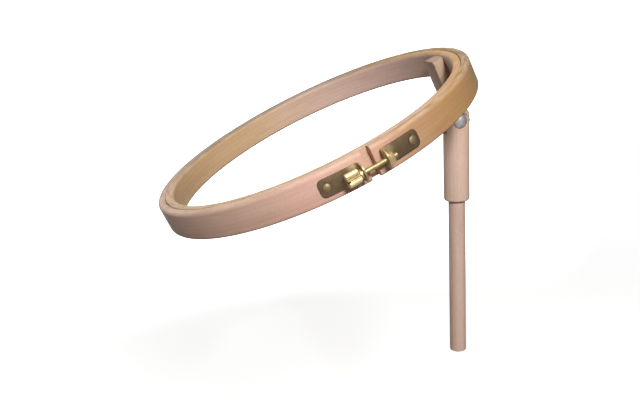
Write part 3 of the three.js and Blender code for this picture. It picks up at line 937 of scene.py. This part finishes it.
# Clamp at the split of the outer hoop: brackets, rivets, thumb screw and nut
clamp = {
    "strip": 0.0012,
    "stripHeight": 0.014,
    "stripEdge": 0.00018,
    "stripTrim": 0.00005,
    "bendRadius": 0.0016,
    "endRound": 0.004,
    "lugOffset": 0.01,
    "lugReach": 0.0145,
    "lugRound": 0.0045,
    "rivetArc": 0.036,
    "rivetEdge": 0.006,
    "rivetShank": 0.0016,
    "rivetHead": 0.0035,
    "rivetHeadHeight": 0.0019,
    "rivetHeadEdge": 0.00015,
    "rivetHeadPole": 1.5,
    "rivetTail": 0.0025,
    "rivetTailDepth": 0.001,
    "rivetTailSink": 0.0004,
    "rivetTailTaper": 0.0004,
    "rivetTailTaperHeight": 0.0003,
    "screwRadius": 0.002,
    "screwThreadRoot": 0.0016,
    "screwThreadCrest": 0.00198,
    "screwThreadOverlap": 0.0008,
    "screwPitch": 0.0007,
    "screwTip": 0.0032,
    "screwTipChamfer": 0.0006,
    "collarRadius": 0.00375,
    "collarLength": 0.002,
    "collarEdge": 0.0003,
    "headRadius": 0.0055,
    "headLength": 0.011,
    "headChamfer": 0.0007,
    "flutes": 24,
    "fluteDepth": 0.0005,
    "slotWidth": 0.0014,
    "slotDepth": 0.0018,
    "nutAcross": 0.008,
    "nutThickness": 0.004,
    "nutChamfer": 0.0006,
    "nutChamferLift": 0.00002,
    "nutFlare": 0.0006,
    "nutFlareDepth": 0.0005,
    "nutEdge": 0.00015,
}
rivetTurn = clamp["rivetArc"] / hoops["outerRadius"]
plateEndTurn = (clamp["rivetArc"] + clamp["rivetEdge"]) / hoops["outerRadius"]
stripBore = hoops["outerRadius"] + hoops["fit"]
stripOutside = stripBore + clamp["strip"]
lugOuterFace = clamp["lugOffset"] + clamp["strip"] / 2
collarFace = lugOuterFace + hoops["fit"]
screwHoleRadius = clamp["screwRadius"] + hoops["fit"]


def rivetHole(side):
    fit = hoops["fit"]
    shank, tail = clamp["rivetShank"] + fit, clamp["rivetTail"] + fit
    floor = outerBore + clamp["rivetTailSink"] + clamp["rivetTailDepth"] + fit
    hole = turnPiece("rivetHole", [(tail, outerBore - bench["spare"]), (tail, floor), (shank, floor),
                                   (shank, stripOutside + bench["spare"])], sides=48)
    settle(hole, Matrix.Rotation(side * rivetTurn, 4, "Z") @ Matrix.Rotation(quarterTurn, 4, "Y"))
    return hole


def makeOuterHoop():
    half = hoops["depth"] / 2
    ring = bendRing("outerHoop", outerBore, hoops["outerRadius"], -half, half,
                    hoops["matingRound"], hoops["handRound"], hoops["splitGap"])
    softenEdges(ring, hoops["splitEdge"], angle=50)
    for side in (1, -1):
        carve(ring, rivetHole(side))
    finishPiece(ring, clampPlace, "outer_hoop", "outer_ring", outerWood)


def makeBrackets():
    half, middle = clamp["stripHeight"] / 2, stripBore + clamp["strip"] / 2
    bend = clamp["bendRadius"] + clamp["strip"] / 2
    bendY = clamp["lugOffset"] + bend
    bendX = math.sqrt((middle + bend) ** 2 - bendY ** 2)
    bendTurn = math.asin(bendY / (middle + bend))
    lugEnd = hoops["outerRadius"] + clamp["lugReach"]
    takeUp(None)
    bpy.ops.mesh.primitive_plane_add(size=1, rotation=(quarterTurn, 0, 0),
                                     location=((bendX + lugEnd) / 2, clamp["lugOffset"], 0))
    right = keepNew("rightBracket", (lugEnd - bendX, 2 * half, 1))
    pick(right, "EDGE", lambda spot: at(spot.x, bendX))
    sweep(bendTurn - quarterTurn, steps=8, centre=(bendX, bendY, 0))
    sweep(plateEndTurn - bendTurn, steps=24)
    cleanMesh(right)
    change(right, "SOLIDIFY", {"thickness": clamp["strip"], "offset": 0.0, "use_even_offset": True})
    trim, past, spare = clamp["stripTrim"], bench["past"], bench["spare"]
    far = stripOutside * math.sin(plateEndTurn)
    inner = hoops["outerRadius"] * math.cos(plateEndTurn) - spare
    plate = block("plate", (inner, 0, -half - trim), (lugEnd + spare, far - trim, half + trim))
    roundEdges(plate, lambda spot: spot.y > far - past and abs(spot.z) > half, clamp["endRound"])
    carve(right, plate, "INTERSECT")
    lug = block("lug", (inner, -far, -half - trim), (lugEnd - trim, 2 * far, half + trim))
    roundEdges(lug, lambda spot: spot.x > lugEnd - past and abs(spot.z) > half, clamp["lugRound"])
    carve(right, lug, "INTERSECT")
    lugHole = rod("lugHole", screwHoleRadius, 0, 2 * clamp["lugOffset"], alongY(clampReach, 0), sides=48)
    carve(right, lugHole)
    carve(right, rivetHole(1))
    softenEdges(right, clamp["stripEdge"])
    left = copyPiece(right, "leftBracket")
    settle(left, Matrix.Scale(-1, 4, (0, 1, 0)))
    for piece, node in ((right, "bracket_right"), (left, "bracket_left")):
        finishPiece(piece, clampPlace, "outer_hoop", node, stripBrass)


def makeRivets():
    shank, tail, head = clamp["rivetShank"], clamp["rivetTail"], clamp["rivetHead"]
    edge, domeHeight = clamp["rivetHeadEdge"], clamp["rivetHeadHeight"] - clamp["rivetHeadEdge"]
    tailEnd = clamp["rivetTailSink"] - hoops["wall"] - clamp["strip"] - 2 * hoops["fit"]
    tailTop = tailEnd + clamp["rivetTailDepth"]
    right = turnPiece("rightRivet", [
        (tail - clamp["rivetTailTaper"], tailEnd),
        (tail, tailEnd + clamp["rivetTailTaperHeight"]),
        (tail, tailTop),
        (shank, tailTop),
        (shank, 0),
        (head - edge, 0),
        *roundPath(0, edge, head, domeHeight, 0, clamp["rivetHeadPole"], steps=12),
    ], sides=64)
    left = copyPiece(right, "leftRivet")
    seat = Matrix.Translation((stripOutside + hoops["fit"], 0, 0)) @ Matrix.Rotation(quarterTurn, 4, "Y")
    for piece, side, node in ((right, 1, "rivet_right"), (left, -1, "rivet_left")):
        place = clampPlace @ Matrix.Rotation(side * rivetTurn, 4, "Z") @ seat
        finishPiece(piece, place, "outer_hoop", node, rivetBrass)


def makeThumbScrew():
    collar, chamfer, radius = -collarFace, clamp["headChamfer"], clamp["headRadius"]
    headTop = collar - clamp["collarLength"]
    headEnd = headTop - clamp["headLength"]
    endRadius = radius - clamp["fluteDepth"] - chamfer
    sides = 4 * clamp["flutes"]
    screw = turnPiece("thumbScrew", [
        (endRadius, headEnd),
        (radius, headEnd + chamfer),
        (radius, headTop - chamfer),
        (endRadius, headTop),
        (clamp["collarRadius"], headTop),
        (clamp["collarRadius"], collar - clamp["collarEdge"]),
        (clamp["collarRadius"] - clamp["collarEdge"], collar),
    ], sides)
    for depth, phases in ((0.5, (1, 3)), (1.0, (2,))):  # a flute spans four corners
        pick(screw, "VERT", lambda spot: at(spot.xy.length, radius)
             and round(math.atan2(spot.y, spot.x) / fullTurn * sides) % 4 in phases)
        shrink = 1 - depth * clamp["fluteDepth"] / radius
        bpy.ops.transform.resize(value=(shrink, shrink, 1), center_override=(0, 0, 0))
    bpy.ops.object.mode_set(mode="OBJECT")
    half, far = clamp["slotWidth"] / 2, bench["far"]
    carve(screw, block("slot", (-far, -half, headEnd - far), (far, half, headEnd + clamp["slotDepth"])))
    tip = collarFace + clamp["nutThickness"] + clamp["screwTip"]
    thread = threadedRod("thread", clamp["screwThreadRoot"], clamp["screwThreadCrest"], clamp["screwPitch"],
                         collar - clamp["screwThreadOverlap"], tip, clamp["screwTipChamfer"], sides=32)
    carve(screw, thread, "UNION")
    finishPiece(screw, screwPlace, "clamp_screw", "tension_screw", screwBrass)


def makeSquareNut():
    half, base, top = clamp["nutAcross"] / 2, collarFace, collarFace + clamp["nutThickness"]
    nut = block("squareNut", (-half, -half, base), (half, half, top))
    slope = clamp["nutChamfer"] / (half * (math.sqrt(2) - 1))  # from a side's middle to a corner
    wide = 2 * half
    carve(nut, turnPiece("chamfer", [
        (wide, base - bench["spare"]),
        (wide, top - slope * (wide - half)),
        (half, top + clamp["nutChamferLift"]),
    ]), "INTERSECT")
    flared = screwHoleRadius + clamp["nutFlare"]
    carve(nut, turnPiece("nutHole", [
        (flared, base - bench["past"]),
        (screwHoleRadius, base + clamp["nutFlareDepth"]),
        (screwHoleRadius, top - clamp["nutFlareDepth"]),
        (flared, top + bench["past"]),
    ], sides=48))
    softenEdges(nut, clamp["nutEdge"])
    finishPiece(nut, screwPlace, "clamp_nut", "tension_nut", screwBrass)


makeOuterHoop()
makeBrackets()
makeRivets()
makeThumbScrew()
makeSquareNut()

# Floor, light and camera
studio = {
    "floorSize": 30,
    "floorHeight": -0.3,
    "floorColour": (0.86, 0.86, 0.86, 1.0),
    "floorBounce": (0.16, 0.16, 0.16, 1.0),
    "floorRoughness": 0.9,
    "floorGlow": 0.57,
    "floorFade": (0.9, 1.5),
    "skyFront": 0.1,
    "skyBack": 2.5,
    "skyReach": (0.65, 1.0),
    "mirrorLow": 0.75,
    "mirrorHigh": 1.0,
    "mirrorReach": (-0.5, 0.4),
    "mirrorRight": 0.5,
    "mirrorRightReach": (0.1, 0.9),
    "lampAim": (-0.13, 0.0, 0.2),
}
lamps = {
    "keyLamp": {"place": (-0.26, -2.02, 1.46), "size": 0.5, "power": 54.0, "colour": (1.0, 1.0, 1.0)},
    "topLamp": {"place": (-0.2, -0.35, 1.9), "size": 0.5, "power": 3.5, "colour": (1.0, 0.9, 0.74)},
}
view = {
    "azimuth": -13.71,
    "elevation": 14.26,
    "roll": -2.99,
    "distance": 0.73304,
    "aim": (-0.13419, 0.0, 0.16894),
    "lens": 45.21,
    "sensor": 36.0,
}


def rays(paint):  # those that look at the background, and those that mirror it
    camera, through, glossy = [paint.node("ShaderNodeLightPath", output=name) for name in (
        "Is Camera Ray", "Is Transmission Ray", "Is Glossy Ray")]
    return camera.highest(through), glossy


def makeFloor():
    takeUp(None)
    bpy.ops.mesh.primitive_plane_add(size=studio["floorSize"], location=(0, 0, studio["floorHeight"]))
    floor = keepNew("floor")
    material, paint = newPaint("paleFloor")
    x, y = paint.axes(Matrix.Identity(4))[:2]
    seen, mirrored = rays(paint)
    paint.surface({
        "Base Color": paint.mix(seen.highest(mirrored), studio["floorBounce"], studio["floorColour"]),
        "Roughness": studio["floorRoughness"],
        "Specular IOR Level": 0.0,
        "Emission Color": paint.mix(seen, (0, 0, 0, 1), (1, 1, 1, 1)),
        "Emission Strength": studio["floorGlow"],
        "Alpha": paint.step((x * x + y * y).root(), *studio["floorFade"], 1.0, 0.0),
    })
    floor.data.materials.append(material)


def makeSky():  # white to look at, dimmer low and right in mirrors, with a soft back light
    world = bpy.data.worlds.new("studioSky")
    bpy.context.scene.world = world
    world.use_nodes = True
    paint = Paint(world.node_tree)
    right, behind, height = paint.split(paint.node("ShaderNodeTexCoord", output="Generated"))
    fill = paint.step(behind, *studio["skyReach"], studio["skyFront"], studio["skyBack"])
    seen, mirrored = rays(paint)
    graded = paint.step(height, *studio["mirrorReach"], studio["mirrorLow"], studio["mirrorHigh"])
    graded = graded * paint.step(right, *studio["mirrorRightReach"], 1.0, studio["mirrorRight"])
    strength = seen.highest(mirrored * graded).highest(fill * (1 - mirrored))
    sky = paint.node("ShaderNodeBackground", inputs={"Color": (1, 1, 1, 1), "Strength": strength})
    paint.feed(world.node_tree.nodes["World Output"].inputs["Surface"], sky)


def makeLamp(name, values):
    takeUp(None)
    bpy.ops.object.light_add(type="AREA", location=values["place"])
    lamp = bpy.context.object
    lamp.name = name
    lamp.data.shape = "DISK"
    lamp.data.size = values["size"]
    lamp.data.energy = values["power"]
    lamp.data.color = values["colour"]
    lamp.visible_camera = False
    lamp.rotation_euler = (Vector(studio["lampAim"]) - lamp.location).to_track_quat("-Z", "Y").to_euler()


def makeCamera():
    azimuth, elevation, roll = [math.radians(view[key]) for key in ("azimuth", "elevation", "roll")]
    back = Vector((math.sin(azimuth) * math.cos(elevation), -math.cos(azimuth) * math.cos(elevation),
                   math.sin(elevation)))
    level = Vector((0, 0, 1)).cross(back).normalized()
    upright = back.cross(level)
    right = level * math.cos(roll) + upright * math.sin(roll)
    takeUp(None)
    bpy.ops.object.camera_add()
    camera = bpy.context.object
    camera.matrix_world = placeOf(Vector(view["aim"]) + back * view["distance"], right, back)
    camera.data.sensor_fit = "HORIZONTAL"
    camera.data.sensor_width = view["sensor"]
    camera.data.lens = view["lens"]
    bpy.context.scene.camera = camera


makeFloor()
makeSky()
for name, values in lamps.items():
    makeLamp(name, values)
makeCamera()
bpy.context.scene.view_settings.view_transform = "Standard"
print("studio set")
